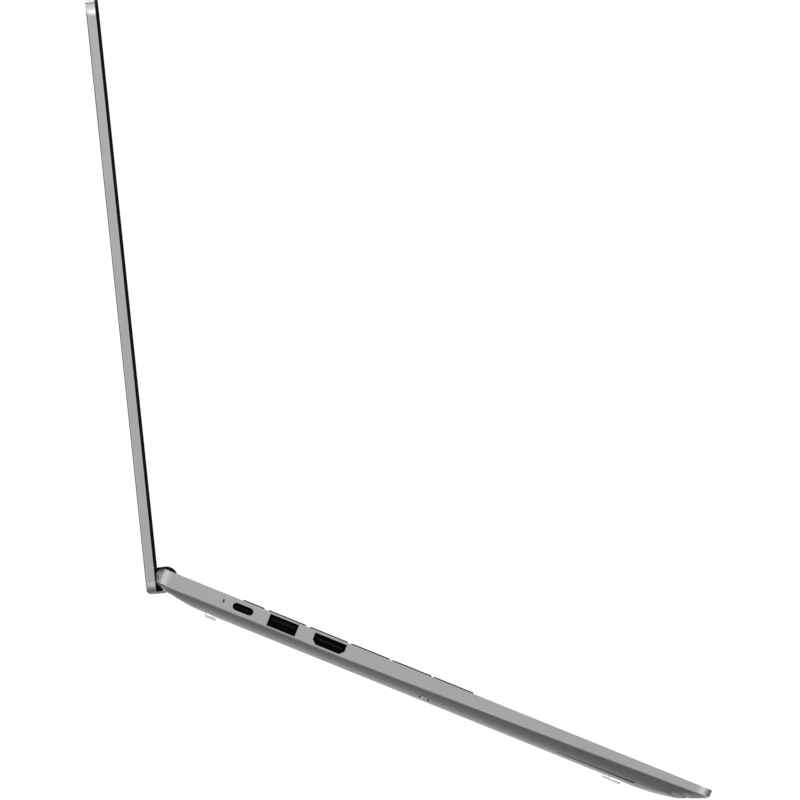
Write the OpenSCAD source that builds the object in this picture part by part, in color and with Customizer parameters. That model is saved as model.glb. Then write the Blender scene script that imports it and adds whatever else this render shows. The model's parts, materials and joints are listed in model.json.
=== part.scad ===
// Clamshell laptop computer, 16 inch class, lid open. Units are millimetres.
// Frame: +X is the user's right, -Y the front edge of the base, +Z up, feet on Z = 0.
// The origin is the middle of the underside of the whole box with the lid open.
// Base pieces are drawn with y = -f, where f is the distance in front of the hinge axis.
// Lid pieces are drawn closed, with y = -p and z = n from the hinge axis, then turned open.

/* [Body] */
// overall width of base and lid
body_w = 357; // [352:1:362]
// distance from hinge axis to the front edge of the base
front_reach = 245.2; // [244:0.2:247]
// thickness of the base from belly to deck
base_t = 10.8; // [10.6:0.1:11]
// height of the rubber feet under the belly
foot_h = 1.6; // [1.4:0.1:2]
// plan radius of the four corners
corner_r = 7; // [5:1:8]

/* [Lid] */
// opening angle of the lid at rest
lid_open = 118; // [90:1:130]
// distance from hinge axis to the top edge of the lid
lid_top = 243.9; // [243:0.1:245]
// distance of the outer lid face from the hinge axis
lid_out = 8.9; // [8.8:0.1:9.2]
// radius of the long outer edge of the lid
lid_round = 1; // [0.6:0.1:1]
// visible screen width
screen_w = 344.6; // [330:0.2:344.6]
// visible screen height
screen_h = 215.4; // [205:0.2:215.4]

/* [Keyboard] */
// spacing of the keys in both directions
pitch = 18.95; // [18.5:0.05:18.95]
// size of a square key cap
cap = 16; // [15:0.1:16]
// depth of a function key cap
cap_fn = 8.9; // [8:0.1:8.9]
// height of the caps above the deck
cap_proud = 0.5; // [0.2:0.1:0.6]
// thickness of a key cap
cap_t = 1.3; // [1:0.1:1.4]

/* [Touchpad] */
// touchpad width
pad_w = 125; // [100:1:130]
// touchpad depth
pad_d = 80; // [60:1:80]

/* [Hinge] */
// radius of the black hinge barrel
barrel_r = 4.8; // [4.6:0.1:4.8]
// width of the solid corner on each side of the hinge barrel
post_w = 30; // [28:1:34]
// radius of the steel hinge shafts
shaft_r = 1.5; // [1.3:0.1:1.6]

/* [Hidden] */
$fn = 64;
belly_z = foot_h;
deck_z = foot_h + base_t;
axis_drop = 3.2;
axis_z = deck_z - axis_drop;
half_w = body_w / 2;
deck_t = 1.2;
under_deck = deck_z - deck_t;
wall = 1.6;
skin = 1.1;
gap = 0.1;
// lid levels measured from the hinge axis
lid_end = -6.3;
gasket_n = 3.5;
rim_n = 4.9;
bezel_n = 4;
frame_p = 5;
plate_n = lid_out - 1;
// the rearmost point of the open lid sets where the origin lies
back_reach = -(lid_top - lid_round) * cos(lid_open)
    + (lid_out - lid_round) * sin(lid_open) + lid_round;
hinge_y = (front_reach - back_reach) / 2;
// curved flank between side wall and belly
flank_r = 26;
flank_in = 14;
flank_turn = 1.46;
flank_from = 80;
// radius of the rear edge of the base around the hinge axis
rear_r = 4.6;
// inside of the case
in_rear = 8.6;
in_front = front_reach - wall;
in_x = half_w - wall;
// hinge barrel between the two rear corners
notch_x = half_w - post_w;
notch_r = 6.2;
sweep_r = 7.2;
barrel_x = notch_x - 0.4;
// key rows, distance of the rear edge of each row in front of the hinge axis
row_fn = 34.1;
row_1 = 45.7;
row_2 = row_1 + pitch;
row_3 = row_2 + pitch;
row_4 = row_3 + pitch;
row_5 = row_4 + pitch;
keys_left = -7.5 * pitch;
hole_gap = 0.4;
cap_top = deck_z + cap_proud;
back_z = 8.2;
half_key = 7.6;
// ports
port_z = deck_z - 3.35;
port_in = half_w - wall - 0.1;
usbc_f = 34.6;
usba_f = 52.5;
hdmi_f = 73.5;
jack_f = 34;
led_f = 25.8;
// fans
fan_x = 98;
fan_f = 48.5;
fan_r = 27.5;
// touchpad
pad_f = 152;
// screws: sideways place, distance in front of the hinge axis, height of the seat
screws = [
    [-141, 12.5, 3.9],
    [141, 12.5, 3.9],
    [-171, 118.8, 3.9],
    [171, 118.8, 3.9],
    [0, 143.5, 3.9],
    [-75, 238, 7.5],
    [75, 238, 7.5],
    [-171, 237.6, 7.5],
    [171, 237.6, 7.5]
];

alu = [0.66, 0.67, 0.68];
dark = [0.06, 0.06, 0.07];
steel = [0.55, 0.55, 0.57];
board = [0.08, 0.22, 0.14];
copper = [0.72, 0.42, 0.25];

// ---------- helpers ----------

module base_place() {
    translate([0, hinge_y, 0]) children();
}

module lid_place() {
    translate([0, hinge_y, axis_z]) rotate([-lid_open, 0, 0]) children();
}

// a drawing in (f, z) pulled along X from x0 to x1
module xprism(x0, x1) {
    translate([x1, 0, 0]) rotate([90, 0, -90]) linear_extrude(x1 - x0) children();
}

// a drawing in (x, z) pulled from y0 to y1
module yprism(y0, y1) {
    translate([0, y1, 0]) rotate([90, 0, 0]) linear_extrude(y1 - y0) children();
}

// a box given by its limits sideways, in front of the axis and in height
module fbox(x0, x1, f0, f1, z0, z1) {
    translate([x0, -f1, z0]) cube([x1 - x0, f1 - f0, z1 - z0]);
}

module xrod(r, x0, x1) {
    translate([x0, 0, 0]) rotate([0, 90, 0]) cylinder(r = r, h = x1 - x0);
}

module rrect(w, d, r) {
    square([w - 2 * r, d], center = true);
    square([w, d - 2 * r], center = true);
    for (sx = [-1, 1]) {
        for (sy = [-1, 1]) {
            translate([sx * (w / 2 - r), sy * (d / 2 - r)]) circle(r = r);
        }
    }
}

function arc(cx, cy, r, a0) = [for (i = [0:4]) [cx + r * cos(a0 + i * 22.5), cy + r * sin(a0 + i * 22.5)]];

// outline of a small rounded rectangle with its lower left corner at the origin
module soft_rect(w, d, r) {
    polygon(concat(
        arc(w - r, r, r, -90),
        arc(w - r, d - r, r, 0),
        arc(r, d - r, r, 90),
        arc(r, r, r, 180)
    ));
}

// slab with rounded corners given by its limits
module softbox(x0, x1, f0, f1, z0, z1, r) {
    translate([x0, -f1, z0]) linear_extrude(z1 - z0) soft_rect(x1 - x0, f1 - f0, r);
}

// ---------- base shape ----------

// a point on the round rear edge, which keeps clear of the turning lid
function rear(a) = [rear_r * cos(a), axis_z + rear_r * sin(a)];

module base_outline() {
    polygon([
        [-3.2, deck_z], [front_reach, deck_z], [front_reach, deck_z - 3.1],
        [front_reach - 1.3, deck_z - 4.1], [front_reach - 3.9, deck_z - 5.2],
        [front_reach - 8.5, deck_z - 7], [front_reach - 12.2, deck_z - 8.5],
        [front_reach - 17.2, deck_z - 9.5], [front_reach - 24, deck_z - 10.4],
        [front_reach - 31, belly_z], [24, belly_z], [14, deck_z - 10.45],
        [7, deck_z - 9.5], [1.7, deck_z - 8.6],
        rear(234), rear(222), rear(210), rear(195), rear(180),
        rear(165), rear(150), rear(138)
    ]);
}

// the same outline lifted by the skin thickness, for the inside of the bottom cover
module inner_outline() {
    polygon([
        [in_rear, 20], [in_front, 20], [in_front, deck_z - 2.4],
        [front_reach - 3.9, deck_z - 4.1], [front_reach - 9.1, deck_z - 5.9],
        [front_reach - 12.8, deck_z - 7.4], [front_reach - 17.6, deck_z - 8.4],
        [front_reach - 24.2, deck_z - 9.3], [front_reach - 31, belly_z + skin],
        [24, belly_z + skin], [14, belly_z + skin + 0.3], [in_rear, belly_z + skin + 1.1]
    ]);
}

module base_plan(z0, z1) {
    back = rear_r + 0.05;
    translate([0, -(front_reach - back) / 2, z0]) linear_extrude(z1 - z0)
        rrect(body_w, front_reach + back, corner_r);
}

// parting line between top case and bottom cover, seen from the side
module above_parting(lift) {
    polygon([
        [-10, 30], [-10, deck_z - 6.3 + lift], [flank_from, deck_z - 6.45 + lift],
        [148, deck_z - 5.3 + lift], [202, deck_z - 4.1 + lift],
        [260, deck_z - 2.8 + lift], [260, 30]
    ]);
}

module below_parting(drop) {
    polygon([
        [-10, -5], [-10, deck_z - 6.3 - drop], [flank_from, deck_z - 6.45 - drop],
        [148, deck_z - 5.3 - drop], [202, deck_z - 4.1 - drop],
        [260, deck_z - 2.8 - drop], [260, -5]
    ]);
}

// one side of the belly: flat, then a round flank up to the side wall
module flank_outline(inset) {
    r = flank_r - inset;
    polygon(concat(
        [for (a = [0:5:55]) [r * sin(a), flank_r - r * cos(a)]],
        [[r, 40], [-500, 40], [-500, inset]]
    ));
}

module flank_side(inset, side, turn) {
    mirror([side < 0 ? 1 : 0, 0, 0])
        translate([half_w - flank_in, -flank_from, belly_z])
        rotate([0, 0, -turn])
        yprism(-300, 300) flank_outline(inset);
}

// slope of the belly under a plan corner, looking out at the given turn from straight ahead
module front_slope(side, turn) {
    translate([side * (half_w - corner_r), -(front_reach - corner_r), 0]) rotate([0, 0, side * turn])
        xprism(-400, 400) polygon([
            [-500, 30], [corner_r + 0.2, 30], [corner_r + 0.2, deck_z - 2.9],
            [corner_r - 1.3, deck_z - 4.1], [corner_r - 3.9, deck_z - 5.3],
            [corner_r - 8.5, deck_z - 7.2], [corner_r - 12.2, deck_z - 8.6],
            [corner_r - 18, deck_z - 9.8], [corner_r - 27, deck_z - 10.9], [-500, -60]
        ]);
}

module rear_slope(side, turn) {
    translate([side * (half_w - corner_r), rear_r - corner_r, 0]) rotate([0, 0, side * (180 - turn)])
        xprism(-400, 400) polygon([
            [-500, 30], [corner_r + 0.2, 30], [corner_r + 0.2, deck_z - 6.2],
            [corner_r - 1.5, deck_z - 7.2], [corner_r - 5, deck_z - 8.5],
            [corner_r - 11, deck_z - 9.8], [corner_r - 20, deck_z - 10.9], [-500, -60]
        ]);
}

module belly_solid() {
    intersection() {
        base_plan(0, 20);
        front_slope(1, 25);
        front_slope(1, 45);
        front_slope(1, 65);
        front_slope(-1, 25);
        front_slope(-1, 45);
        front_slope(-1, 65);
        rear_slope(1, 30);
        rear_slope(1, 60);
        rear_slope(-1, 30);
        rear_slope(-1, 60);
        xprism(-half_w - 1, half_w + 1) base_outline();
        flank_side(0, 1, 0);
        flank_side(0, -1, 0);
        flank_side(0, 1, flank_turn);
        flank_side(0, -1, flank_turn);
    }
}

module belly_room() {
    intersection() {
        softbox(-in_x, in_x, in_rear, in_front, 0, 20, 12);
        xprism(-half_w, half_w) inner_outline();
        flank_side(skin, 1, 0);
        flank_side(skin, -1, 0);
        flank_side(skin, 1, flank_turn);
        flank_side(skin, -1, flank_turn);
    }
}

// room for the hinge barrel between the two rear corners
module hinge_notch() {
    translate([0, 0, axis_z]) xrod(notch_r, -notch_x, notch_x);
    fbox(-notch_x, notch_x, -20, 0.1, -5, 30);
    // room below for the chin of the lid, which turns under the base
    intersection() {
        translate([0, 0, axis_z]) xrod(sweep_r, -notch_x, notch_x);
        fbox(-notch_x, notch_x, 0, 10, -5, axis_z - 1);
    }
}

// ---------- keys ----------

// kw: key width in units, ux: units from the left end of the keyboard
function cap_w(kw) = kw * pitch - (pitch - cap);
function cap_x(ux) = keys_left + ux * pitch + (pitch - cap) / 2;

module key_cap(ux, kw, f0, depth) {
    x0 = cap_x(ux);
    w = cap_w(kw);
    softbox(x0, x0 + w, f0, f0 + depth, cap_top - cap_t, cap_top, 1.4);
    translate([x0 + w / 2, -f0 - depth / 2, cap_top - cap_t - 1]) cylinder(r = 1.8, h = 1, $fn = 32);
}

module key_hole(ux, kw, f0, depth) {
    x0 = cap_x(ux) - hole_gap;
    w = cap_w(kw) + 2 * hole_gap;
    softbox(x0, x0 + w, f0 - hole_gap, f0 + depth + hole_gap, under_deck - 1, deck_z + 1, 1.6);
}

module key_run(first, count, f0, depth) {
    for (i = [0:count - 1]) {
        key_cap(first + i, 1, f0, depth);
    }
}

module hole_run(first, count, f0, depth) {
    for (i = [0:count - 1]) {
        key_hole(first + i, 1, f0, depth);
    }
}

module all_key_holes() {
    hole_run(0, 15, row_fn, cap_fn);
    hole_run(0, 13, row_1, cap);
    key_hole(13, 2, row_1, cap);
    key_hole(0, 1.5, row_2, cap);
    hole_run(1.5, 12, row_2, cap);
    key_hole(13.5, 1.5, row_2, cap);
    key_hole(0, 1.75, row_3, cap);
    hole_run(1.75, 11, row_3, cap);
    key_hole(12.75, 2.25, row_3, cap);
    key_hole(0, 2.25, row_4, cap);
    hole_run(2.25, 10, row_4, cap);
    key_hole(12.25, 2.75, row_4, cap);
    key_hole(0, 1.25, row_5, cap);
    hole_run(1.25, 2, row_5, cap);
    key_hole(3.25, 1.25, row_5, cap);
    key_hole(4.5, 5.5, row_5, cap);
    hole_run(10, 5, row_5, cap);
}

module key_escape() { base_place() color(dark) key_cap(0, 1, row_fn, cap_fn); }
module keys_function() { base_place() color(dark) key_run(1, 13, row_fn, cap_fn); }
module power_button() { base_place() color(dark) key_cap(14, 1, row_fn, cap_fn); }
module keys_number() { base_place() color(dark) key_run(0, 13, row_1, cap); }
module key_backspace() { base_place() color(dark) key_cap(13, 2, row_1, cap); }
module key_tab() { base_place() color(dark) key_cap(0, 1.5, row_2, cap); }
module keys_upper() {
    base_place() color(dark) {
        key_run(1.5, 12, row_2, cap);
        key_cap(13.5, 1.5, row_2, cap);
    }
}
module key_caps_lock() { base_place() color(dark) key_cap(0, 1.75, row_3, cap); }
module keys_home() { base_place() color(dark) key_run(1.75, 11, row_3, cap); }
module key_enter() { base_place() color(dark) key_cap(12.75, 2.25, row_3, cap); }
module key_shift_left() { base_place() color(dark) key_cap(0, 2.25, row_4, cap); }
module keys_lower() { base_place() color(dark) key_run(2.25, 10, row_4, cap); }
module key_shift_right() { base_place() color(dark) key_cap(12.25, 2.75, row_4, cap); }
module keys_modifier() {
    base_place() color(dark) {
        key_cap(0, 1.25, row_5, cap);
        key_run(1.25, 2, row_5, cap);
        key_cap(3.25, 1.25, row_5, cap);
        key_run(10, 2, row_5, cap);
    }
}
module key_space() { base_place() color(dark) key_cap(4.5, 5.5, row_5, cap); }
module key_left() { base_place() color(dark) key_cap(12, 1, row_5, cap); }
module key_up() { base_place() color(dark) key_cap(13, 1, row_5, half_key); }
module key_down() { base_place() color(dark) key_cap(13, 1, row_5 + cap - half_key, half_key); }
module key_right() { base_place() color(dark) key_cap(14, 1, row_5, cap); }

// ---------- case ----------

// holes for the sockets through a side wall, side -1 left or 1 right
module socket_cut(side, f0, width, z0, z1) {
    x0 = side < 0 ? -half_w - 1 : in_x - 1;
    fbox(x0, x0 + wall + 2, f0 - width / 2, f0 + width / 2, z0, z1);
}

module stadium_cut(side, f0, width, h, x0, x1) {
    for (s = [-1, 1]) {
        translate([0, -f0 + s * (width - h) / 2, port_z]) xrod(h / 2, x0, x1);
    }
    fbox(x0, x1, f0 - (width - h) / 2, f0 + (width - h) / 2, port_z - h / 2, port_z + h / 2);
}

module hdmi_outline(w, h, cut_w, cut_h) {
    polygon([
        [-w / 2, h / 2], [w / 2, h / 2], [w / 2, -h / 2 + cut_h],
        [w / 2 - cut_w, -h / 2], [-w / 2 + cut_w, -h / 2], [-w / 2, -h / 2 + cut_h]
    ]);
}

module top_case() {
    base_place() color(alu) difference() {
        intersection() {
            base_plan(0, 20);
            xprism(-half_w - 1, half_w + 1) base_outline();
            xprism(-half_w - 1, half_w + 1) above_parting(0);
        }
        difference() {
            softbox(-in_x, in_x, in_rear, in_front, 0, under_deck, 5.4);
            for (s = screws) {
                translate([s[0], -s[1], s[2] + 0.9]) cylinder(r = 2.6, h = 20);
            }
        }
        for (s = screws) {
            translate([s[0], -s[1], 2]) cylinder(r = 1.05, h = under_deck - 2.3);
        }
        hinge_notch();
        all_key_holes();
        softbox(-pad_w / 2 - 0.4, pad_w / 2 + 0.4, pad_f - 0.4, pad_f + pad_d + 0.4, 9, 14, 2.4);
        // pockets for the hinge knuckles in the rear corners
        for (s = [-1, 1]) {
            a = s * (notch_x + 1.7);
            b = s * (notch_x + 14);
            fbox(min(a, b), max(a, b), -2.1, in_rear + 0.1, axis_z - 2.25, deck_z - 0.7);
        }
        translate([0, 0, axis_z]) xrod(shaft_r + 0.2, -notch_x - 3, -notch_x + 1);
        translate([0, 0, axis_z]) xrod(shaft_r + 0.2, notch_x - 1, notch_x + 3);
        // left sockets
        stadium_cut(-1, usbc_f, 9.1, 3.2, -half_w - 1, -in_x + 1);
        socket_cut(-1, usba_f, 12.8, port_z - 2.6, port_z + 2.6);
        translate([-in_x + 1, -hdmi_f, port_z]) rotate([90, 0, -90])
            linear_extrude(wall + 2) hdmi_outline(14.3, 4.8, 1.9, 1.7);
        fbox(-half_w - 1, -in_x + 1, led_f - 0.35, led_f + 0.35, port_z - 0.5, port_z + 0.9);
        // right sockets
        socket_cut(1, usba_f, 12.8, port_z - 2.6, port_z + 2.6);
        translate([0, -jack_f, port_z]) xrod(2.3, in_x - 1, half_w + 1);
        // thinner deck over the sockets
        fbox(-in_x, -in_x + 16, 44, 83, under_deck - 1, deck_z - 0.6);
        fbox(in_x - 16, in_x, 44, 61, under_deck - 1, deck_z - 0.6);
        // air outlets through the rear wall
        for (s = [-1, 1]) {
            for (i = [0:12]) {
                translate([s * (fan_x - 24 + i * 4), 0, 0]) fbox(-1, 1, 4, in_rear + 0.1, 6.4, 9.8);
            }
        }
    }
}

module bottom_cover() {
    base_place() color(alu) difference() {
        intersection() {
            difference() {
                belly_solid();
                difference() {
                    belly_room();
                    for (s = screws) {
                        translate([s[0], -s[1], 0]) cylinder(r = 3.4, h = s[2] + 0.8);
                    }
                }
            }
            xprism(-half_w - 1, half_w + 1) below_parting(gap);
        }
        hinge_notch();
        for (s = screws) {
            translate([s[0], -s[1], -1]) cylinder(r = 2.3, h = s[2] + 1);
            translate([s[0], -s[1], 0]) cylinder(r = 1.15, h = 12);
        }
        // seats of the rubber feet
        for (b = foot_bars) {
            softbox(b[0] - 0.1, b[1] + 0.1, b[2] - 0.1, b[3] + 0.1, belly_z - 1, belly_z + 0.3, 2.5);
        }
        // air intakes under the fans
        for (s = [-1, 1]) {
            for (i = [0:8]) {
                for (k = [0, 1]) {
                    x0 = s * fan_x - 26 + k * 27;
                    softbox(x0, x0 + 25, 32 + i * 4, 33.6 + i * 4, belly_z - 1, belly_z + 3, 0.7);
                }
            }
        }
        // speaker slits in the flanks
        for (s = [-1, 1]) {
            translate([s * (half_w - 8.9), 0, 0]) fbox(-0.8, 0.8, 179, 213.7, 0, 8);
        }
    }
}

module bottom_screws() {
    base_place() color(steel) {
        for (s = screws) {
            difference() {
                union() {
                    translate([s[0], -s[1], s[2] - 1.15]) cylinder(r = 2, h = 1.15);
                    translate([s[0], -s[1], s[2] - 0.5]) cylinder(r = 1, h = 3);
                }
                translate([s[0], -s[1], s[2] - 2]) cylinder(r = 0.7, h = 1.5, $fn = 32);
            }
        }
    }
}

// left, right, rear and front limits of each foot
foot_bars = [
    [-135, 135, 21, 26],
    [-135, -75, 204, 209],
    [75, 135, 204, 209]
];

module rubber_feet() {
    base_place() color([0.5, 0.5, 0.5]) {
        for (b = foot_bars) {
            softbox(b[0], b[1], b[2], b[3], 0, belly_z + 0.25, 2.4);
        }
    }
}

module keyboard_backplate() {
    base_place() color([0.12, 0.12, 0.13]) difference() {
        softbox(-146, 146, 31, 139.5, back_z, back_z + 0.6, 3);
        for (x = [-144.6, -50, 50, 144.6]) {
            for (f = [43.8, 81.5, 119.4]) {
                translate([x, -f, back_z - 1]) cylinder(r = 0.8, h = 3, $fn = 32);
            }
        }
    }
}

// ---------- inside the base ----------

module motherboard() {
    base_place() color(board) {
        difference() {
            fbox(-62, 62, 19.5, 112, 3.9, 4.9);
            for (x = [-57, 57]) {
                for (f = [24, 107]) {
                    translate([x, -f, 2]) cylinder(r = 1.4, h = 5, $fn = 32);
                }
            }
        }
        fbox(-15, 15, 32, 60, 4.9, 6.5);
        fbox(24, 36, 34, 50, 4.9, 6);
        fbox(-44, -34, 34, 44, 4.9, 6);
        fbox(-52, -46, 70, 100, 4.9, 6.4);
        fbox(58, 62, 84, 106, 4.9, 6);
        fbox(-62, -59, 84, 106, 4.9, 6);
    }
}

module memory_module() {
    base_place() color(board) {
        fbox(-45.9, 22, 70, 100, 5.6, 6.6);
        for (i = [0:3]) {
            translate([-36 + i * 16, 0, 0]) fbox(-5.5, 5.5, 78, 92, 6.6, 7.6);
        }
    }
}

module ssd() {
    base_place() color(board) {
        fbox(62.1, 142, 84, 106, 5, 5.8);
        fbox(80, 96, 87, 103, 5.8, 7);
        fbox(104, 120, 87, 103, 5.8, 7);
    }
}

module radio_card() {
    base_place() color(board) {
        fbox(-92, -62.1, 84, 106, 5, 5.8);
        fbox(-88, -70, 88, 102, 5.8, 7.4);
    }
}

module heat_pipe() {
    base_place() color(copper) {
        softbox(-128, 128, 10.2, 17, 6.6, 8, 3.2);
        fbox(-18, 18, 14, 62, 6.6, 8);
    }
}

module cooling_fins() {
    base_place() color(copper) {
        for (s = [-1, 1]) {
            translate([s * fan_x, 0, 0]) {
                fbox(-29, 29, 9.6, 17.6, 3.8, 4.2);
                for (i = [0:19]) {
                    fbox(-28.7 + i * 3, -28.2 + i * 3, 9.6, 17.6, 4.2, 6.5);
                }
            }
        }
    }
}

module fan_housing(x) {
    base_place() color(dark) translate([x, 0, 0]) {
        difference() {
            softbox(-33, 33, 18.2, 79.5, 2.9, 7.9, 2);
            translate([0, -fan_f, 3.4]) cylinder(r = fan_r, h = 4);
            fbox(-fan_r, fan_r, 10, fan_f, 3.4, 7.4);
            translate([0, -fan_f, 2]) cylinder(r = 17, h = 10);
        }
        translate([0, -fan_f, 2.9]) cylinder(r = 9, h = 0.5);
        for (a = [90, 210, 330]) {
            translate([0, -fan_f, 2.9]) rotate([0, 0, a]) translate([8, -1.5, 0]) cube([10, 3, 0.5]);
        }
        translate([0, -fan_f, 3.3]) cylinder(r = 1, h = 2.2, $fn = 32);
    }
}

module fan_rotor(x) {
    base_place() color([0.16, 0.16, 0.17]) translate([x, -fan_f, 0]) difference() {
        union() {
            translate([0, 0, 3.7]) cylinder(r = 11, h = 3.4);
            for (i = [0:22]) {
                rotate([0, 0, i * 360 / 23]) translate([10, -0.4, 4])
                    rotate([0, 0, 12]) cube([15.8, 0.8, 2.9]);
            }
        }
        translate([0, 0, 3]) cylinder(r = 1.05, h = 2.7, $fn = 32);
    }
}

module fan_housing_left() { fan_housing(-fan_x); }
module fan_housing_right() { fan_housing(fan_x); }
module fan_rotor_left() { fan_rotor(-fan_x); }
module fan_rotor_right() { fan_rotor(fan_x); }

module battery() {
    base_place() color([0.1, 0.1, 0.11]) difference() {
        softbox(-136, 136, 115.5, 217, 2.9, 8, 3);
        translate([0, -143.5, 2]) cylinder(r = 4, h = 8);
    }
}

module speaker(side) {
    a = side * 144;
    b = side * 169;
    c = side * 167.6;
    d = side * 170.8;
    base_place() color(dark) {
        difference() {
            softbox(min(a, b), max(a, b), 172, 218, 5.4, 10.2, 2);
            softbox(min(a + side * 3, b - side * 3), max(a + side * 3, b - side * 3), 176, 214, 5, 6.4, 2);
        }
        // sound outlet behind the slit in the flank
        fbox(min(c, d), max(c, d), 177, 215, 4.75, 5.6);
        // black grille bar that fills the slit
        mirror([side < 0 ? 1 : 0, 0, 0]) yprism(-213.6, -179.1)
            polygon([[168.9, 2.78], [170.3, 3.24], [170.3, 5], [168.9, 5]]);
    }
}

module speaker_left() { speaker(-1); }
module speaker_right() { speaker(1); }

module port_board_left() {
    base_place() color(board) fbox(-172.5, -152, 24, 86, 4.7, 5.6);
}

module port_board_right() {
    base_place() color(board) fbox(152, 172.5, 24, 64, 4.7, 5.6);
}

module usb_a_port(side) {
    a = side * (port_in - 13);
    b = side * port_in;
    x0 = min(a, b);
    x1 = max(a, b);
    m0 = side < 0 ? x0 - 1 : x0 + 2.5;
    m1 = side < 0 ? x1 - 2.5 : x1 + 1;
    t0 = side < 0 ? x0 + 1.5 : x0 + 2;
    t1 = side < 0 ? x1 - 2 : x1 - 1.5;
    base_place() color(steel) {
        difference() {
            fbox(x0, x1, usba_f - 6.7, usba_f + 6.7, port_z - 2.75, port_z + 2.7);
            fbox(m0, m1, usba_f - 6.25, usba_f + 6.25, port_z - 2.4, port_z + 2.35);
        }
        fbox(t0, t1, usba_f - 5.4, usba_f + 5.4, port_z + 0.2, port_z + 1.7);
        fbox(min(side * 168, side * 170), max(side * 168, side * 170),
            usba_f - 6, usba_f + 6, 5.6, port_z - 2.7);
    }
}

module usb_a_port_left() { usb_a_port(-1); }
module usb_a_port_right() { usb_a_port(1); }

module usb_c_port() {
    base_place() color(steel) {
        difference() {
            stadium_cut(-1, usbc_f, 9.9, 4, -port_in, -port_in + 8);
            stadium_cut(-1, usbc_f, 9, 3.1, -port_in - 1, -port_in + 6.5);
        }
        fbox(-port_in + 1.2, -port_in + 7, usbc_f - 3.3, usbc_f + 3.3, port_z - 0.35, port_z + 0.35);
        fbox(-170.5, -169, usbc_f - 3, usbc_f + 3, 5.6, port_z - 1.9);
    }
}

module hdmi_port() {
    base_place() color(steel) {
        difference() {
            translate([-port_in + 12, -hdmi_f, port_z]) rotate([90, 0, -90])
                linear_extrude(12) hdmi_outline(15.1, 5.4, 2.1, 1.9);
            translate([-port_in + 10.5, -hdmi_f, port_z]) rotate([90, 0, -90])
                linear_extrude(12) hdmi_outline(14.2, 4.7, 1.9, 1.7);
        }
        fbox(-port_in + 1.5, -port_in + 11, hdmi_f - 5.6, hdmi_f + 5.6, port_z - 0.3, port_z + 0.7);
        fbox(-170.5, -168.5, hdmi_f - 5, hdmi_f + 5, 5.6, port_z - 2.6);
    }
}

module audio_jack() {
    base_place() color([0.05, 0.05, 0.05]) difference() {
        union() {
            fbox(port_in - 13, port_in, jack_f - 3.2, jack_f + 3.2, 6.3, port_z + 2.1);
            fbox(port_in - 13, port_in - 5, jack_f - 3.2, jack_f + 3.2, 5.7, 6.4);
        }
        translate([0, -jack_f, port_z]) xrod(1.8, port_in - 12, port_in + 1);
    }
}

module charge_led() {
    base_place() color([0.9, 0.9, 0.92]) {
        fbox(-half_w + 0.05, -port_in + 1, led_f - 0.25, led_f + 0.25, port_z - 0.4, port_z + 0.8);
        fbox(-port_in + 0.9, -port_in + 3.5, led_f - 1.2, led_f + 1.2, 5.7, port_z + 1.2);
    }
}

// ---------- hinges ----------

module hinge_bracket(side) {
    a = side * (notch_x + 2);
    b = side * (notch_x + 13);
    x0 = min(a, b);
    x1 = max(a, b);
    base_place() color(steel) difference() {
        union() {
            fbox(x0, x1, -1.9, 6, axis_z - 2, deck_z - 0.9);
            fbox(x0, x1, 5.5, 30, under_deck - 1.4, under_deck - 0.1);
        }
        translate([0, 0, axis_z]) xrod(shaft_r + 0.02, x0 - 1, x1 + 1);
        for (f = [16, 25]) {
            translate([(x0 + x1) / 2, -f, 8]) cylinder(r = 1.2, h = 4, $fn = 32);
        }
    }
}

module hinge_bracket_left() { hinge_bracket(-1); }
module hinge_bracket_right() { hinge_bracket(1); }

module hinge_shafts() {
    base_place() color(steel) {
        translate([0, 0, axis_z]) xrod(shaft_r, -notch_x - 11, -notch_x + 19);
        translate([0, 0, axis_z]) xrod(shaft_r, notch_x - 19, notch_x + 11);
    }
}

module hinge_arm(side) {
    a = side * (barrel_x - 20);
    b = side * (barrel_x - 1.4);
    x0 = min(a, b);
    x1 = max(a, b);
    lid_place() color(steel) difference() {
        union() {
            xrod(3, x0, x1);
            fbox(x0 + 2, x1 - 2, -1.6, 1.6, 2, plate_n - 0.1);
            fbox(x0 + 2, x1 - 2, -1.6, 38, plate_n - 1.2, plate_n - 0.1);
        }
        xrod(shaft_r + 0.06, x0 - 1, x1 + 1);
        for (f = [20, 32]) {
            translate([(x0 + x1) / 2, -f, 5]) cylinder(r = 1.2, h = 4, $fn = 32);
        }
    }
}

module hinge_arm_left() { hinge_arm(-1); }
module hinge_arm_right() { hinge_arm(1); }

module hinge_barrel() {
    lid_place() color(dark) difference() {
        union() {
            xrod(barrel_r, -barrel_x, barrel_x);
            // web that joins the barrel to the lid plate
            fbox(-barrel_x + 24, barrel_x - 24, -1.5, 1.5, 4.2, plate_n - 0.05);
            // cheeks that close the space between barrel, chin and display frame
            fbox(-barrel_x, barrel_x, lid_end + 1.1, 0.5, 1.8, rim_n - 0.06);
            fbox(-barrel_x, barrel_x, 0, barrel_r - 0.05, 0.3, rim_n - 0.06);
            fbox(-barrel_x, barrel_x, 4, frame_p - 0.1, gasket_n + 0.05, rim_n - 0.06);
        }
        xrod(barrel_r - 1, -barrel_x + 1, barrel_x - 1);
        xrod(shaft_r + 0.3, -barrel_x - 1, barrel_x + 1);
        for (s = [-1, 1]) {
            a = s * (barrel_x - 18.2);
            b = s * (barrel_x - 3.2);
            fbox(min(a, b), max(a, b), -1.8, 1.8, 2, 10);
        }
    }
}

// ---------- touchpad ----------

module touchpad() {
    base_place() color([0.6, 0.61, 0.62])
        softbox(-pad_w / 2, pad_w / 2, pad_f, pad_f + pad_d, deck_z - 1.1, deck_z - 0.05, 2);
}

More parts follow.
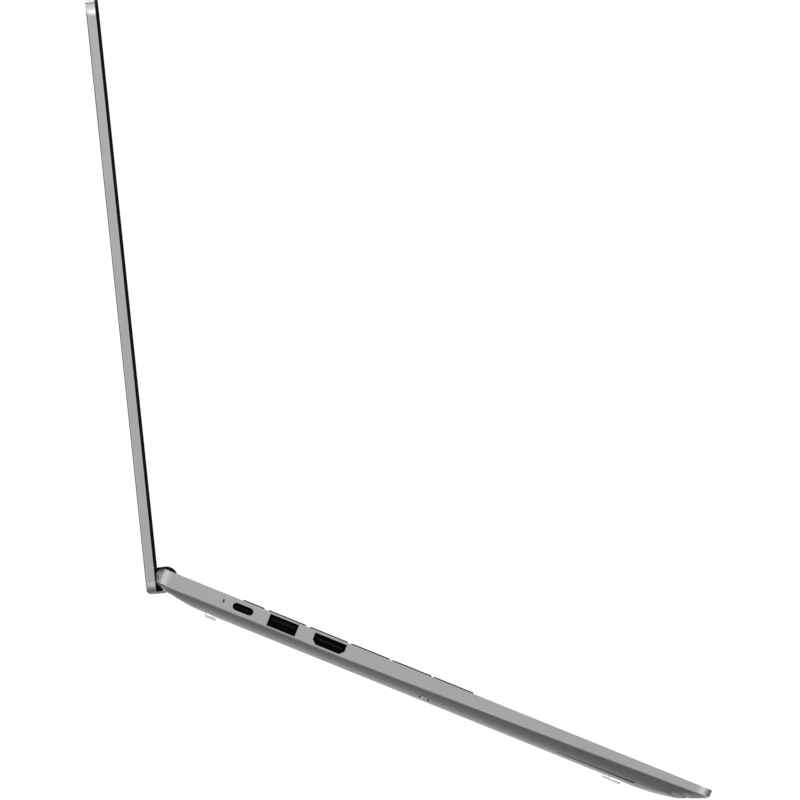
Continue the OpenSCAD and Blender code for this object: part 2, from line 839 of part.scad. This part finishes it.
module touchpad_support() {
    base_place() color(dark) {
        softbox(-70, 70, 148, 235.4, 9.2, 9.8, 2);
        for (s = [-1, 1]) {
            translate([s * 67.5, 0, 0]) fbox(-2, 2, 150, 233, 9.7, under_deck - 0.05);
        }
        translate([0, -224, 9.7]) cylinder(r = 3, h = 1);
    }
}

// ---------- lid ----------

module lid_plan(inset, z0, z1) {
    mid = (lid_top + lid_end) / 2;
    translate([0, -mid, z0]) linear_extrude(z1 - z0)
        rrect(body_w - 2 * inset, lid_top - lid_end - 2 * inset, corner_r - inset);
}

function turn5(cx, cy, r, a0) = [for (i = [0:5]) [cx + r * cos(a0 + i * 18), cy + r * sin(a0 + i * 18)]];

// the lid as plan, side outline and front outline cut with each other
module lid_block() {
    r = lid_round;
    intersection() {
        lid_plan(0, rim_n, lid_out + 1);
        xprism(-half_w - 1, half_w + 1) polygon(concat(
            [[lid_end, 0], [lid_top, 0]],
            turn5(lid_top - r, lid_out - r, r, 0),
            turn5(lid_end + 2, lid_out - 2, 2, 90)
        ));
        yprism(-300, 20) polygon(concat(
            [[-half_w, 0], [half_w, 0]],
            turn5(half_w - r, lid_out - r, r, 0),
            turn5(-half_w + r, lid_out - r, r, 90)
        ));
    }
}

module lid_cover() {
    lid_place() color(alu) difference() {
        union() {
            lid_block();
            // chin that wraps under the hinge barrel
            fbox(-barrel_x, barrel_x, lid_end, lid_end + 1, 0.6, rim_n + 0.5);
        }
        // room for the display, with solid corners beside the hinge barrel
        difference() {
            lid_plan(1.3, 0, plate_n);
            for (s = [-1, 1]) {
                fbox(min(s * barrel_x, s * 180), max(s * barrel_x, s * 180), -10, 6, -1, 20);
            }
        }
    }
}

module lid_gasket() {
    lid_place() color(dark) difference() {
        lid_plan(0, gasket_n, rim_n - 0.05);
        lid_plan(2.2, gasket_n - 1, rim_n + 1);
        fbox(-half_w - 1, half_w + 1, -20, frame_p, 0, 10);
    }
}

module display_bezel() {
    top = lid_top - 7.3;
    lid_place() color(dark) difference() {
        lid_plan(2.3, bezel_n, rim_n - 0.05);
        fbox(-half_w, half_w, -20, frame_p, 0, 10);
        fbox(-screen_w / 2, screen_w / 2, top - screen_h, top, 0, 10);
        translate([0, -lid_top + 3.7, 0]) cylinder(r = 1, h = 10, $fn = 32);
    }
}

module display_panel() {
    lid_place() color([0.02, 0.02, 0.03])
        fbox(-half_w + 2.9, half_w - 2.9, 10, lid_top - 5.8, rim_n, plate_n - 1.3);
}

module camera_module() {
    lid_place() color([0.05, 0.05, 0.06]) {
        fbox(-30, 30, lid_top - 5.6, lid_top - 1.5, rim_n, rim_n + 1.6);
        translate([0, -lid_top + 3.7, bezel_n + 0.1]) cylinder(r = 0.9, h = 1, $fn = 32);
    }
}

top_case();
bottom_cover();
bottom_screws();
rubber_feet();
keyboard_backplate();
motherboard();
memory_module();
ssd();
radio_card();
heat_pipe();
cooling_fins();
fan_housing_left();
fan_housing_right();
fan_rotor_left();
fan_rotor_right();
battery();
speaker_left();
speaker_right();
port_board_left();
port_board_right();
usb_c_port();
usb_a_port_left();
hdmi_port();
usb_a_port_right();
audio_jack();
charge_led();
hinge_bracket_left();
hinge_bracket_right();
hinge_shafts();
touchpad_support();
touchpad();
power_button();
key_escape();
keys_function();
keys_number();
key_backspace();
key_tab();
keys_upper();
key_caps_lock();
keys_home();
key_enter();
key_shift_left();
keys_lower();
key_shift_right();
keys_modifier();
key_space();
key_left();
key_up();
key_down();
key_right();
lid_cover();
lid_gasket();
display_bezel();
display_panel();
camera_module();
hinge_barrel();
hinge_arm_left();
hinge_arm_right();
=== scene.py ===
"""Laptop computer standing open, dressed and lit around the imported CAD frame. Metres throughout."""
import bpy
import bmesh
import json
import math
from mathutils import Matrix, Vector


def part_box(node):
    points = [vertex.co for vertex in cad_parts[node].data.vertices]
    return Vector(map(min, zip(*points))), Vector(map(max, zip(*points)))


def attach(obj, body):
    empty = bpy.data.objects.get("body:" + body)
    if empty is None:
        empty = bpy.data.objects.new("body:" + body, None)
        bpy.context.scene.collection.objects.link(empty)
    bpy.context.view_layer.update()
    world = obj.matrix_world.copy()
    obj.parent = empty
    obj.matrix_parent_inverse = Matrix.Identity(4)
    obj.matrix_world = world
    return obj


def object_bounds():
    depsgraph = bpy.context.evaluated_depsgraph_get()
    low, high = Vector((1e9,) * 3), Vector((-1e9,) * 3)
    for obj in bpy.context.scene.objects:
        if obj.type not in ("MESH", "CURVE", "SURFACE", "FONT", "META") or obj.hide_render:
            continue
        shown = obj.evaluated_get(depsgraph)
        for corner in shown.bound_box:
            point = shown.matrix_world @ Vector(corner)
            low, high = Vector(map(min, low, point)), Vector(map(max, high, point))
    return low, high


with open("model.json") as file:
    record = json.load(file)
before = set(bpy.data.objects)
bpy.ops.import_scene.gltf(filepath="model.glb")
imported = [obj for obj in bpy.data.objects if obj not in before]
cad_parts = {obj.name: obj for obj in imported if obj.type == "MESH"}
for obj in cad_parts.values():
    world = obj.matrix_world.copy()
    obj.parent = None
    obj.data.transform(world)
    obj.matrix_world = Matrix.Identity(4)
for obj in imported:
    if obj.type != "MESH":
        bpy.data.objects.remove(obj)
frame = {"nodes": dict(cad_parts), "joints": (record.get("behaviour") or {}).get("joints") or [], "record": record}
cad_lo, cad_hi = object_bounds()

MM = 0.001

# ---------------------------------------------------------------- places taken from the frame
hinge = next(j for j in frame["joints"] if j["name"] == "lid_hinge")
HINGE_Y, HINGE_Z = hinge["pos_m"][1], hinge["pos_m"][2]      # the axis runs along X
HALF_W = (cad_hi[0] - cad_lo[0]) / 2
DECK_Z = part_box("top_case")[1][2]

# ---------------------------------------------------------------- camera
# A very long lens on the hinge line, so that the deck and the screen are both seen edge-on.
ROLL = math.radians(22.03)              # turn of the picture about the view direction
FRAME_W = 0.3347                        # what the picture spans at the laptop's left side
AIM_RIGHT, AIM_UP = 0.0977, 0.0744      # from the hinge to the middle of the picture
LENS, SENSOR = 1700.0, 36.0             # in millimetres
CLIP = 0.05, 60


def make_camera():
    data = bpy.data.cameras.new("camera")
    data.lens, data.sensor_width = LENS, SENSOR
    data.clip_start, data.clip_end = CLIP
    cam = bpy.data.objects.new("camera", data)
    bpy.context.scene.collection.objects.link(cam)
    right = Vector((0, -math.cos(ROLL), math.sin(ROLL)))
    up = Vector((0, math.sin(ROLL), math.cos(ROLL)))
    near = Vector((-HALF_W, HINGE_Y, HINGE_Z))
    target = near + right * AIM_RIGHT + up * AIM_UP
    cam.location = near - Vector((FRAME_W / 2 / (SENSOR / 2 / LENS), 0, 0))
    back = (cam.location - target).normalized()
    x_axis = up.cross(back).normalized()
    y_axis = back.cross(x_axis)
    turn = Matrix((x_axis, y_axis, back)).transposed().to_4x4()
    cam.matrix_world = Matrix.Translation(cam.location) @ turn
    bpy.context.scene.camera = cam


make_camera()

# ---------------------------------------------------------------- materials
BUMP_DEPTH = 0.04 * MM
COAT_ROUGH = 0.1
SMOOTHEST = 0.02                        # no surface is glossier than this


def noise(m, scale, detail):
    """Noise fixed to the object, as a value from 0 to 1."""
    n, l = m.node_tree.nodes, m.node_tree.links
    place, t = n.new("ShaderNodeTexCoord"), n.new("ShaderNodeTexNoise")
    t.inputs["Scale"].default_value = scale
    t.inputs["Detail"].default_value = detail
    t.inputs["Roughness"].default_value = 0.55
    l.new(place.outputs["Object"], t.inputs["Vector"])
    return t.outputs["Fac"]


def drift(m, color, vary):
    """Slow drift of a colour, a share darker and lighter than it is named."""
    r = m.node_tree.nodes.new("ShaderNodeValToRGB")
    m.node_tree.links.new(noise(m, 40.0, 3.0), r.inputs["Fac"])
    dark, light = r.color_ramp.elements
    dark.position, dark.color = 0.3, [c * (1 - vary) for c in color] + [1]
    light.position, light.color = 0.7, [min(1.0, c * (1 + vary)) for c in color] + [1]
    return r.outputs["Color"]


def finish_mat(name, color, metallic=0.0, rough=0.4, vary=0.06, rough_vary=0.06, bump=0.12,
               spec=0.5, coat=0.0):
    """A surface with slow colour drift, uneven roughness and a fine moulded or blasted grain."""
    m = bpy.data.materials.new(name)
    m.use_nodes = True
    n, l = m.node_tree.nodes, m.node_tree.links
    b = n["Principled BSDF"]
    b.inputs["Metallic"].default_value = metallic
    b.inputs["Specular IOR Level"].default_value = spec
    b.inputs["Coat Weight"].default_value = coat
    b.inputs["Coat Roughness"].default_value = COAT_ROUGH
    l.new(drift(m, color, vary), b.inputs["Base Color"])
    grain = noise(m, 2500.0, 2.0)
    uneven = n.new("ShaderNodeMapRange")
    uneven.inputs["To Min"].default_value = max(SMOOTHEST, rough - rough_vary)
    uneven.inputs["To Max"].default_value = min(1.0, rough + rough_vary)
    l.new(grain, uneven.inputs["Value"])
    l.new(uneven.outputs["Result"], b.inputs["Roughness"])
    if bump:
        bp = n.new("ShaderNodeBump")
        bp.inputs["Strength"].default_value = bump
        bp.inputs["Distance"].default_value = BUMP_DEPTH
        l.new(grain, bp.inputs["Height"])
        l.new(bp.outputs["Normal"], b.inputs["Normal"])
    return m


def make_clear(m):
    """Turns a finish into clear silicone that hardly bends the light."""
    b = m.node_tree.nodes["Principled BSDF"]
    b.inputs["Transmission Weight"].default_value = 1.0
    b.inputs["IOR"].default_value = 1.01


ALUMINIUM = dict(color=(0.60, 0.607, 0.615), metallic=1.0, rough=0.36, vary=0.02, rough_vary=0.05)
FINISHES = {
    "case_metal": ALUMINIUM,
    "lid_metal": ALUMINIUM,
    "key_plastic": dict(color=(0.006, 0.006, 0.007), rough=0.55, vary=0.15, spec=0.15),
    "black_plastic": dict(color=(0.004, 0.004, 0.005), rough=0.45, vary=0.15, spec=0.15),
    "gasket_rubber": dict(color=(0.0025, 0.0025, 0.003), rough=0.6, vary=0.2, bump=0.25,
                          spec=0.08),
    "foot_rubber": dict(color=(0.97, 0.97, 0.97), rough=0.06, vary=0.01, rough_vary=0.02,
                        bump=0.0, spec=0.1),
    "pad_glass": dict(color=(0.33, 0.335, 0.34), rough=0.28, vary=0.02, rough_vary=0.03,
                      bump=0.03),
    "circuit_board": dict(color=(0.01, 0.05, 0.03), rough=0.35, vary=0.3),
    "copper_pipe": dict(color=(0.72, 0.40, 0.25), metallic=1.0, rough=0.35, vary=0.1),
    "steel_parts": dict(color=(0.45, 0.45, 0.46), metallic=1.0, rough=0.32, vary=0.08),
    "port_steel": dict(color=(0.006, 0.006, 0.007), rough=0.35, vary=0.2, spec=0.12),
    "screen_panel": dict(color=(0.002, 0.002, 0.0026), rough=0.16, vary=0.25, rough_vary=0.03,
                         bump=0.0, spec=0.22),
    "bezel_plastic": dict(color=(0.003, 0.003, 0.0035), rough=0.45, vary=0.15, spec=0.12),
    "lens_glass": dict(color=(0.004, 0.004, 0.008), rough=0.08, vary=0.2, rough_vary=0.01,
                       bump=0.0, coat=1.0),
    "light_pipe": dict(color=(0.02, 0.02, 0.022), rough=0.3, vary=0.05),
    "battery_skin": dict(color=(0.02, 0.02, 0.022), rough=0.5, vary=0.3),
}
MATS = {slot: finish_mat(slot, **finish) for slot, finish in FINISHES.items()}
make_clear(MATS["foot_rubber"])
LEGEND = finish_mat("legend_ink", (0.62, 0.63, 0.64), rough=0.5, vary=0.03)
GOLD = finish_mat("contact_gold", (0.75, 0.55, 0.22), metallic=1.0, rough=0.3, vary=0.05)

slots = {s["node"]: s["material_slot"] for s in frame["record"]["subparts"]}
for name, obj in frame["nodes"].items():
    for s in obj.material_slots:
        s.material = MATS[slots[name]]

# ---------------------------------------------------------------- shading of the CAD nodes
SHARP = math.radians(32)                # edges above this angle stay sharp
BROKEN = math.radians(40)               # edges above this angle are broken by a bevel
WELD = 0.002 * MM
KEY_BREAK = 0.05                        # widths of the broken edges, in millimetres
EDGE_BREAK = {"lid_cover": 0.15, "lid_gasket": 0.1, "display_bezel": 0.1, "hinge_barrel": 0.15,
              "battery": 0.3, "touchpad": 0.12, "rubber_feet": 0.3}


def smooth_group():
    """Node group that shades every edge up to SHARP smooth and keeps the others sharp."""
    g = bpy.data.node_groups.new("smooth_by_angle", "GeometryNodeTree")
    g.interface.new_socket("Geometry", in_out="INPUT", socket_type="NodeSocketGeometry")
    g.interface.new_socket("Geometry", in_out="OUTPUT", socket_type="NodeSocketGeometry")
    n, l = g.nodes, g.links
    gin, gout = n.new("NodeGroupInput"), n.new("NodeGroupOutput")
    faces, edges = n.new("GeometryNodeSetShadeSmooth"), n.new("GeometryNodeSetShadeSmooth")
    faces.domain, edges.domain = "FACE", "EDGE"
    angle, above = n.new("GeometryNodeInputMeshEdgeAngle"), n.new("FunctionNodeCompare")
    above.data_type, above.operation = "FLOAT", "GREATER_THAN"
    above.inputs[1].default_value = SHARP
    l.new(angle.outputs["Unsigned Angle"], above.inputs[0])
    l.new(above.outputs["Result"], edges.inputs["Selection"])
    edges.inputs["Shade Smooth"].default_value = False
    l.new(gin.outputs[0], faces.inputs["Geometry"])
    l.new(faces.outputs["Geometry"], edges.inputs["Geometry"])
    l.new(edges.outputs["Geometry"], gout.inputs[0])
    return g


def soften(obj, width, group):
    """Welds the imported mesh, breaks its sharp edges with a small bevel and shades it by angle."""
    weld = obj.modifiers.new("weld", "WELD")
    weld.merge_threshold = WELD
    if width:
        bevel = obj.modifiers.new("edge_break", "BEVEL")
        bevel.width, bevel.segments, bevel.limit_method = width, 2, "ANGLE"
        bevel.angle_limit, bevel.use_clamp_overlap = BROKEN, False
    smooth = obj.modifiers.new("smooth", "NODES")
    smooth.node_group = group
    even = obj.modifiers.new("even_faces", "WEIGHTED_NORMAL")
    even.weight, even.keep_sharp = 100, True


group = smooth_group()
for name, obj in frame["nodes"].items():
    is_key = name.startswith(("key_", "keys_")) or name == "power_button"
    soften(obj, (KEY_BREAK if is_key else EDGE_BREAK.get(name, 0.0)) * MM, group)


# ---------------------------------------------------------------- added pieces
def mesh_from(bm, name):
    mesh = bpy.data.meshes.new(name)
    bm.to_mesh(mesh)
    bm.free()
    return mesh


def add_piece(name, mesh, material, body):
    mesh.materials.append(material)
    obj = bpy.data.objects.new(name, mesh)
    bpy.context.scene.collection.objects.link(obj)
    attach(obj, body)


def add_bar(bm, rows):
    """Closed bar through rows of four corners."""
    for a, b in zip(rows, rows[1:]):
        for i in range(4):
            j = (i + 1) % 4
            bm.faces.new((a[i], a[j], b[j], b[i]))
    bm.faces.new(rows[0][::-1])
    bm.faces.new(rows[-1])


# ---------------------------------------------------------------- key legends
PITCH, CAP = 18.95 * MM, 16.0 * MM      # key spacing and cap width
KEYS_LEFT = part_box("key_escape")[0][0] - (PITCH - CAP) / 2
INK = 0.012 * MM                        # half the thickness of the print
BIG, MID, SMALL = 4.4 * MM, 3.4 * MM, 2.6 * MM


def glyph(text, size):
    """Flat letters as a mesh, centred on the origin."""
    curve = bpy.data.curves.new("glyph", "FONT")
    curve.body, curve.size, curve.align_x, curve.align_y = text, size, "CENTER", "CENTER"
    curve.resolution_u, curve.extrude = 3, INK
    obj = bpy.data.objects.new("glyph", curve)
    bpy.context.scene.collection.objects.link(obj)
    shaped = obj.evaluated_get(bpy.context.evaluated_depsgraph_get())
    mesh = bpy.data.meshes.new_from_object(shaped)
    bpy.data.objects.remove(obj)
    return mesh


def arrow_mark(turn):
    """Small filled triangle that points up the keyboard, turned by an angle in degrees."""
    rot = Matrix.Rotation(math.radians(turn), 3, "Z")
    corners = [rot @ Vector((x * MM, y * MM, 0)) for x, y in ((0, 1.1), (-1.0, -0.7), (1.0, -0.7))]
    bm = bmesh.new()
    low = [bm.verts.new(p - Vector((0, 0, INK))) for p in corners]
    high = [bm.verts.new(p + Vector((0, 0, INK))) for p in corners]
    bm.faces.new(low[::-1])
    bm.faces.new(high)
    for i in range(3):
        j = (i + 1) % 3
        bm.faces.new((low[i], low[j], high[j], high[i]))
    return mesh_from(bm, "arrow")


def power_mark():
    """Open ring with an upright bar in its gap."""
    inner, outer = 1.25 * MM, 1.6 * MM
    bar_w, bar_h, bar_y = 0.35 * MM, 1.5 * MM, 1.2 * MM
    section = ((inner, -INK), (outer, -INK), (outer, INK), (inner, INK))
    turns = [math.radians(a) for a in range(125, 416, 10)]
    bm = bmesh.new()
    add_bar(bm, [[bm.verts.new((r * math.cos(a), r * math.sin(a), z)) for r, z in section]
                 for a in turns])
    bar = bmesh.ops.create_cube(bm, size=1.0)["verts"]
    bmesh.ops.scale(bm, verts=bar, vec=(bar_w, bar_h, 2 * INK))
    bmesh.ops.translate(bm, verts=bar, vec=(0, bar_y, 0))
    bmesh.ops.recalc_face_normals(bm, faces=bm.faces)
    return mesh_from(bm, "power_mark")


def legend_piece(node, marks):
    """Joins the marks of one node's keys, each a mesh with its sideways place, onto the caps."""
    lo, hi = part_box(node)
    bm = bmesh.new()
    for mesh, x in marks:
        count = len(bm.verts)
        bm.from_mesh(mesh)
        bm.verts.ensure_lookup_table()
        place = (x, (lo[1] + hi[1]) / 2, hi[2] + INK * 0.5)
        bmesh.ops.translate(bm, verts=bm.verts[count:], vec=place)
    name = "legend_" + node
    add_piece(name, mesh_from(bm, name), LEGEND, node)


def mid_x(node):
    lo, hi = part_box(node)
    return (lo[0] + hi[0]) / 2


def run(first, words):
    """Legends of neighbouring plain keys, the first one at a distance in key units."""
    return [(first + i, 1, w) for i, w in enumerate(words)]


# node: size of its letters and, for each key, (units from the left, width in units, text)
LEGENDS = {
    "key_escape": (MID, [(0, 1, "esc")]),
    "keys_function": (SMALL, run(1, ["F%d" % i for i in range(1, 13)] + ["del"])),
    "keys_number": (BIG, run(0, "`1234567890-=")),
    "key_backspace": (MID, [(13, 2, "backspace")]),
    "key_tab": (MID, [(0, 1.5, "tab")]),
    "keys_upper": (BIG, run(1.5, "QWERTYUIOP[]") + [(13.5, 1.5, "\\")]),
    "key_caps_lock": (MID, [(0, 1.75, "caps lock")]),
    "keys_home": (BIG, run(1.75, "ASDFGHJKL;'")),
    "key_enter": (MID, [(12.75, 2.25, "enter")]),
    "key_shift_left": (MID, [(0, 2.25, "shift")]),
    "keys_lower": (BIG, run(2.25, "ZXCVBNM,./")),
    "key_shift_right": (MID, [(12.25, 2.75, "shift")]),
    "keys_modifier": (MID, [(0, 1.25, "ctrl"), (1.25, 1, "fn"), (2.25, 1, "menu"),
                            (3.25, 1.25, "alt"), (10, 1, "alt"), (11, 1, "ctrl")]),
}
ARROWS = {"key_left": 90, "key_up": 0, "key_down": 180, "key_right": -90}

for node, (size, words) in LEGENDS.items():
    legend_piece(node, [(glyph(w, size), KEYS_LEFT + (u + k / 2) * PITCH) for u, k, w in words])
for node, turn in ARROWS.items():
    legend_piece(node, [(arrow_mark(turn), mid_x(node))])
legend_piece("power_button", [(power_mark(), mid_x("power_button"))])

# ---------------------------------------------------------------- contacts inside the sockets
PORT_Z = DECK_Z - 3.35 * MM             # middle height of the sockets
STRIP_T = 0.12 * MM


def contact_strips(name, node, count, pitch, width, set_back, length, drop):
    """Row of plated spring strips on a socket's tongue, each with a turned-up tip; sizes in mm."""
    lo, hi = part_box(node)
    mouth, inward = (lo[0], 1) if lo[0] < 0 else (hi[0], -1)
    mid_y = (lo[1] + hi[1]) / 2
    # distance from the tip and height along one strip
    path = ((0.0, 0.18), (0.6, 0.0), (length * 0.5, -0.05), (length, 0.0))
    bm = bmesh.new()
    for i in range(count):
        y = mid_y + (i - (count - 1) / 2) * pitch * MM
        add_bar(bm, [[bm.verts.new((mouth + inward * (set_back + dx) * MM,
                                    y + side * width * MM / 2,
                                    PORT_Z + (dz - drop) * MM + face * STRIP_T / 2))
                      for side, face in ((-1, -1), (1, -1), (1, 1), (-1, 1))]
                     for dx, dz in path])
    bmesh.ops.recalc_face_normals(bm, faces=bm.faces)
    add_piece(name, mesh_from(bm, name), GOLD, "base")


for node in ("usb_a_port_left", "usb_a_port_right"):
    contact_strips("contacts_" + node, node, 4, 2.3, 1.1, set_back=2.4, length=6, drop=-0.12)
contact_strips("contacts_hdmi", "hdmi_port", 10, 1.0, 0.5, set_back=2.2, length=6, drop=0.38)
contact_strips("contacts_usb_c", "usb_c_port", 10, 0.5, 0.26, set_back=1.6, length=4, drop=0.42)

# ---------------------------------------------------------------- studio
# brightness of the surroundings, from straight below at 0 to straight above at 1
SKY_LEVELS = ((0.0, 0.14), (0.10, 0.20), (0.25, 0.46), (0.40, 0.58), (0.5, 0.37), (0.60, 0.70),
              (0.75, 1.0), (1.0, 1.05))
# direction, sharpness and strength of the bright and dark patches round the laptop
SKY_PATCHES = (
    ((-0.62, 0.78, 0.0), 10.0, 0.65),
    ((-0.62, -0.78, 0.0), 10.0, 0.65),
    ((0.1, 0.85, -0.5), 6.0, -0.15),
    ((1.0, 0.0, -0.1), 8.0, 0.24),
    ((0.6, 0.8, 0.0), 8.0, -0.6),
    ((0.45, -0.9, 0.0), 10.0, -0.4),
    ((-0.64, -0.36, -0.68), 20.0, 0.9),
    ((0.62, 0.36, 0.70), 8.0, -1.1),
)
SKY_LEAST = 0.02
BACKDROP = 1.05                         # brightness of the background behind the laptop
FLOOR_HALF, FLOOR_GAP = 1.5, 0.4 * MM
FLOOR_GLOW = 0.9


def make_sky():
    """World that the camera sees as plain white and that lights and mirrors as a studio."""
    world = bpy.data.worlds.new("studio")
    bpy.context.scene.world = world
    world.use_nodes = True
    n, l = world.node_tree.nodes, world.node_tree.links
    n.clear()

    def node(kind, operation=None):
        made = n.new("ShaderNode" + kind)
        if operation:
            made.operation = operation
        return made

    direction = node("TexCoord").outputs["Generated"]
    split, height, level = node("SeparateXYZ"), node("MapRange"), node("ValToRGB")
    height.inputs["From Min"].default_value = -1
    height.inputs["From Max"].default_value = 1
    l.new(direction, split.inputs["Vector"])
    l.new(split.outputs["Z"], height.inputs["Value"])
    l.new(height.outputs["Result"], level.inputs["Fac"])
    stops = level.color_ramp.elements
    stops[0].position, stops[1].position = SKY_LEVELS[0][0], SKY_LEVELS[-1][0]
    for place, value in SKY_LEVELS[1:-1]:
        stops.new(place)
    for stop, (place, value) in zip(stops, SKY_LEVELS):
        stop.color = (value, value, value, 1)

    total = level.outputs["Color"]
    for toward, power, amount in SKY_PATCHES:
        along, ahead = node("VectorMath", "DOT_PRODUCT"), node("Math", "MAXIMUM")
        narrow, added = node("Math", "POWER"), node("Math", "MULTIPLY_ADD")
        along.inputs[1].default_value = Vector(toward).normalized()
        ahead.inputs[1].default_value = 0.0
        narrow.inputs[1].default_value = power
        added.inputs[1].default_value = amount
        l.new(direction, along.inputs[0])
        l.new(along.outputs["Value"], ahead.inputs[0])
        l.new(ahead.outputs[0], narrow.inputs[0])
        l.new(narrow.outputs[0], added.inputs[0])
        l.new(total, added.inputs[2])
        total = added.outputs[0]
    least = node("Math", "MAXIMUM")
    least.inputs[1].default_value = SKY_LEAST
    l.new(total, least.inputs[0])

    lit, seen, mix = node("Background"), node("Background"), node("MixShader")
    l.new(least.outputs[0], lit.inputs["Color"])
    lit.inputs["Strength"].default_value = 1.0
    seen.inputs["Color"].default_value = (1, 1, 1, 1)
    seen.inputs["Strength"].default_value = BACKDROP
    l.new(node("LightPath").outputs["Is Camera Ray"], mix.inputs["Fac"])
    l.new(lit.outputs["Background"], mix.inputs[1])
    l.new(seen.outputs["Background"], mix.inputs[2])
    l.new(mix.outputs["Shader"], node("OutputWorld").inputs["Surface"])


def area_light(name, place, target, size, power):
    data = bpy.data.lights.new(name, "AREA")
    data.shape, data.size, data.energy = "DISK", size, power
    obj = bpy.data.objects.new(name, data)
    bpy.context.scene.collection.objects.link(obj)
    obj.location = place
    obj.rotation_euler = (Vector(target) - Vector(place)).to_track_quat("-Z", "Y").to_euler()


def make_floor():
    """Pale floor with a glow of its own, which neither mirrors nor soft light see."""
    bm = bmesh.new()
    bmesh.ops.create_grid(bm, x_segments=1, y_segments=1, size=FLOOR_HALF)
    mesh = mesh_from(bm, "floor")
    floor = bpy.data.objects.new("floor", mesh)
    bpy.context.scene.collection.objects.link(floor)
    floor.location = (0, 0, -FLOOR_GAP)
    paint = finish_mat("floor_paint", (0.5, 0.5, 0.5), rough=0.9, vary=0.01, rough_vary=0.02,
                       bump=0.0, spec=0.0)
    shader = paint.node_tree.nodes["Principled BSDF"]
    shader.inputs["Emission Color"].default_value = (1, 1, 1, 1)
    shader.inputs["Emission Strength"].default_value = FLOOR_GLOW
    mesh.materials.append(paint)
    floor.visible_glossy = False
    floor.visible_diffuse = False


make_sky()
area_light("key_light", (-1.1, 0.30, 0.75), (-0.18, 0.12, 0.2), size=0.6, power=1.5)
area_light("fill_light", (1.4, 1.2, 1.4), (0, 0, 0.1), size=1.2, power=8)
make_floor()
bpy.context.scene.view_settings.view_transform = "Standard"
bpy.context.scene.view_settings.look = "None"
